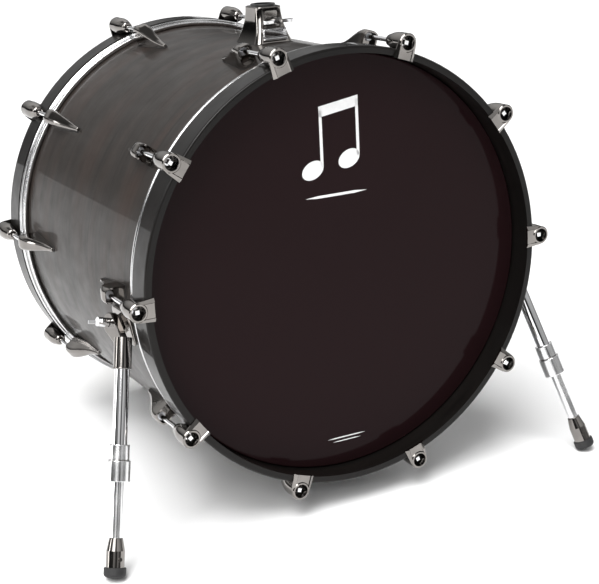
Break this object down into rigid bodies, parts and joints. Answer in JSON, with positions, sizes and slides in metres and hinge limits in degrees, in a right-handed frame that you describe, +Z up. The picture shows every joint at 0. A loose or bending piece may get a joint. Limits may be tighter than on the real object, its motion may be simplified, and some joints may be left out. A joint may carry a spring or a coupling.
{
  "type": "bass drum",
  "caption": "Bass drum with wood shell and hoops, claw-tensioned heads, fold-away telescopic spurs and a top post socket for tom holders.",
  "frame": {"origin": "floor level, centre of the whole object seen from above", "axes": "+Z up from the floor, -Y towards the audience side (front head), +X to the right seen from the front"},
  "size_m": [0.7586, 0.597, 0.6451],
  "materials": {
    "lacquered_shell": "gloss charcoal lacquer over figured wood veneer",
    "lacquered_hoop": "gloss charcoal lacquer over bent wood",
    "black_film": "smooth glossy film",
    "coated_film": "sprayed matt coating on film",
    "smoked_nickel": "smoked nickel plating, polished",
    "chrome": "bright chrome plating",
    "satin_aluminium": "satin, lightly brushed",
    "zinc_steel": "zinc plated",
    "nylon": "moulded black nylon",
    "rubber": "moulded black rubber",
    "white_print": "flat printed ink on the front head"
  },
  "bodies": {
    "root": {"batter_claws": "smoked_nickel", "batter_flesh_hoop": "satin_aluminium", "batter_head": "coated_film", "batter_hoop": "lacquered_hoop", "batter_lugs": "smoked_nickel", "claw_washers": "chrome", "fitting_gaskets": "rubber", "front_claws": "smoked_nickel", "front_flesh_hoop": "satin_aluminium", "front_head": "black_film", "front_hoop": "lacquered_hoop", "front_lugs": "smoked_nickel", "left_spur_bracket": "smoked_nickel", "lug_screws": "zinc_steel", "lug_swivel_nuts": "zinc_steel", "right_spur_bracket": "smoked_nickel", "shell": "lacquered_shell", "spur_screws": "zinc_steel", "tom_mount_base": "smoked_nickel", "tom_mount_bush": "nylon", "tom_mount_clamp": "chrome", "tom_mount_plate": "zinc_steel", "tom_mount_screws": "zinc_steel", "vent_grommet": "chrome"},
    "batter_rod_01": {"batter_tension_rod_01": "chrome"},
    "batter_rod_02": {"batter_tension_rod_02": "chrome"},
    "batter_rod_03": {"batter_tension_rod_03": "chrome"},
    "batter_rod_04": {"batter_tension_rod_04": "chrome"},
    "batter_rod_05": {"batter_tension_rod_05": "chrome"},
    "batter_rod_06": {"batter_tension_rod_06": "chrome"},
    "batter_rod_07": {"batter_tension_rod_07": "chrome"},
    "batter_rod_08": {"batter_tension_rod_08": "chrome"},
    "batter_rod_09": {"batter_tension_rod_09": "chrome"},
    "batter_rod_10": {"batter_tension_rod_10": "chrome"},
    "front_rod_01": {"front_tension_rod_01": "chrome"},
    "front_rod_02": {"front_tension_rod_02": "chrome"},
    "front_rod_03": {"front_tension_rod_03": "chrome"},
    "front_rod_04": {"front_tension_rod_04": "chrome"},
    "front_rod_05": {"front_tension_rod_05": "chrome"},
    "front_rod_06": {"front_tension_rod_06": "chrome"},
    "front_rod_07": {"front_tension_rod_07": "chrome"},
    "front_rod_08": {"front_tension_rod_08": "chrome"},
    "front_rod_09": {"front_tension_rod_09": "chrome"},
    "front_rod_10": {"front_tension_rod_10": "chrome"},
    "left_foot_pad": {"left_foot": "rubber"},
    "left_leg_rod": {"left_foot_socket": "smoked_nickel", "left_spur_rod": "satin_aluminium"},
    "left_leg": {"left_spur_arm": "smoked_nickel", "left_spur_collar": "satin_aluminium", "left_spur_tube": "chrome"},
    "left_leg_wing": {"left_spur_wing_bolt": "chrome"},
    "right_foot_pad": {"right_foot": "rubber"},
    "right_leg_rod": {"right_foot_socket": "smoked_nickel", "right_spur_rod": "satin_aluminium"},
    "right_leg": {"right_spur_arm": "smoked_nickel", "right_spur_collar": "satin_aluminium", "right_spur_tube": "chrome"},
    "right_leg_wing": {"right_spur_wing_bolt": "chrome"},
    "tom_wing": {"tom_mount_wing_bolt": "chrome"}
  },
  "joints": [
    {"name": "front_rod_01_turn", "type": "hinge", "parent": "root", "child": "front_rod_01", "pos_m": [-0.0927, -0.23064, 0.61257], "axis": [0, -0.9983, 0.0576], "continuous": true},
    {"name": "front_rod_02_turn", "type": "hinge", "parent": "root", "child": "front_rod_02", "pos_m": [-0.24271, -0.23691, 0.50377], "axis": [0, -0.9983, 0.0576], "continuous": true},
    {"name": "front_rod_03_turn", "type": "hinge", "parent": "root", "child": "front_rod_03", "pos_m": [-0.3, -0.24706, 0.32773], "axis": [0, -0.9983, 0.0576], "continuous": true},
    {"name": "front_rod_04_turn", "type": "hinge", "parent": "root", "child": "front_rod_04", "pos_m": [-0.24271, -0.25721, 0.15168], "axis": [0, -0.9983, 0.0576], "continuous": true},
    {"name": "front_rod_05_turn", "type": "hinge", "parent": "root", "child": "front_rod_05", "pos_m": [-0.0927, -0.26348, 0.04288], "axis": [0, -0.9983, 0.0576], "continuous": true},
    {"name": "front_rod_06_turn", "type": "hinge", "parent": "root", "child": "front_rod_06", "pos_m": [0.0927, -0.26348, 0.04288], "axis": [0, -0.9983, 0.0576], "continuous": true},
    {"name": "front_rod_07_turn", "type": "hinge", "parent": "root", "child": "front_rod_07", "pos_m": [0.24271, -0.25721, 0.15168], "axis": [0, -0.9983, 0.0576], "continuous": true},
    {"name": "front_rod_08_turn", "type": "hinge", "parent": "root", "child": "front_rod_08", "pos_m": [0.3, -0.24706, 0.32773], "axis": [0, -0.9983, 0.0576], "continuous": true},
    {"name": "front_rod_09_turn", "type": "hinge", "parent": "root", "child": "front_rod_09", "pos_m": [0.24271, -0.23691, 0.50377], "axis": [0, -0.9983, 0.0576], "continuous": true},
    {"name": "front_rod_10_turn", "type": "hinge", "parent": "root", "child": "front_rod_10", "pos_m": [0.0927, -0.23064, 0.61257], "axis": [0, -0.9983, 0.0576], "continuous": true},
    {"name": "batter_rod_01_turn", "type": "hinge", "parent": "root", "child": "batter_rod_01", "pos_m": [0.0927, 0.29369, 0.58234], "axis": [0, 0.9983, -0.0576], "continuous": true},
    {"name": "batter_rod_02_turn", "type": "hinge", "parent": "root", "child": "batter_rod_02", "pos_m": [0.24271, 0.28742, 0.47354], "axis": [0, 0.9983, -0.0576], "continuous": true},
    {"name": "batter_rod_03_turn", "type": "hinge", "parent": "root", "child": "batter_rod_03", "pos_m": [0.3, 0.27727, 0.2975], "axis": [0, 0.9983, -0.0576], "continuous": true},
    {"name": "batter_rod_04_turn", "type": "hinge", "parent": "root", "child": "batter_rod_04", "pos_m": [0.24271, 0.26712, 0.12145], "axis": [0, 0.9983, -0.0576], "continuous": true},
    {"name": "batter_rod_05_turn", "type": "hinge", "parent": "root", "child": "batter_rod_05", "pos_m": [0.0927, 0.26084, 0.01265], "axis": [0, 0.9983, -0.0576], "continuous": true},
    {"name": "batter_rod_06_turn", "type": "hinge", "parent": "root", "child": "batter_rod_06", "pos_m": [-0.0927, 0.26084, 0.01265], "axis": [0, 0.9983, -0.0576], "continuous": true},
    {"name": "batter_rod_07_turn", "type": "hinge", "parent": "root", "child": "batter_rod_07", "pos_m": [-0.24271, 0.26712, 0.12145], "axis": [0, 0.9983, -0.0576], "continuous": true},
    {"name": "batter_rod_08_turn", "type": "hinge", "parent": "root", "child": "batter_rod_08", "pos_m": [-0.3, 0.27727, 0.2975], "axis": [0, 0.9983, -0.0576], "continuous": true},
    {"name": "batter_rod_09_turn", "type": "hinge", "parent": "root", "child": "batter_rod_09", "pos_m": [-0.24271, 0.28742, 0.47354], "axis": [0, 0.9983, -0.0576], "continuous": true},
    {"name": "batter_rod_10_turn", "type": "hinge", "parent": "root", "child": "batter_rod_10", "pos_m": [-0.0927, 0.29369, 0.58234], "axis": [0, 0.9983, -0.0576], "continuous": true},
    {"name": "tom_wing_turn", "type": "hinge", "parent": "root", "child": "tom_wing", "pos_m": [0, -0.04261, 0.62495], "axis": [0, -0.9983, 0.0576], "continuous": true},
    {"name": "left_leg_fold", "type": "hinge", "parent": "root", "child": "left_leg", "pos_m": [-0.2963, -0.14454, 0.28175], "axis": [0.9557, 0.0799, -0.2833], "range_deg": [0, 105]},
    {"name": "left_leg_extend", "type": "slide", "parent": "left_leg", "child": "left_leg_rod", "axis": [-0.2388, -0.3525, -0.9048], "range_m": [-0.05, 0.05]},
    {"name": "left_leg_wing_turn", "type": "hinge", "parent": "left_leg", "child": "left_leg_wing", "pos_m": [-0.2963, -0.14454, 0.28175], "axis": [0.9557, 0.0799, -0.2833], "continuous": true},
    {"name": "left_foot_turn", "type": "hinge", "parent": "left_leg_rod", "child": "left_foot_pad", "pos_m": [-0.2978, -0.18514, 0.26546], "axis": [-0.2388, -0.3525, -0.9048], "continuous": true},
    {"name": "right_leg_fold", "type": "hinge", "parent": "root", "child": "right_leg", "pos_m": [0.2963, -0.14454, 0.28175], "axis": [0.9557, -0.0799, 0.2833], "range_deg": [0, 105]},
    {"name": "right_leg_extend", "type": "slide", "parent": "right_leg", "child": "right_leg_rod", "axis": [0.2388, -0.3525, -0.9048], "range_m": [-0.05, 0.05]},
    {"name": "right_leg_wing_turn", "type": "hinge", "parent": "right_leg", "child": "right_leg_wing", "pos_m": [0.2963, -0.14454, 0.28175], "axis": [0.9557, -0.0799, 0.2833], "continuous": true},
    {"name": "right_foot_turn", "type": "hinge", "parent": "right_leg_rod", "child": "right_foot_pad", "pos_m": [0.2978, -0.18514, 0.26546], "axis": [0.2388, -0.3525, -0.9048], "continuous": true}
  ]
}
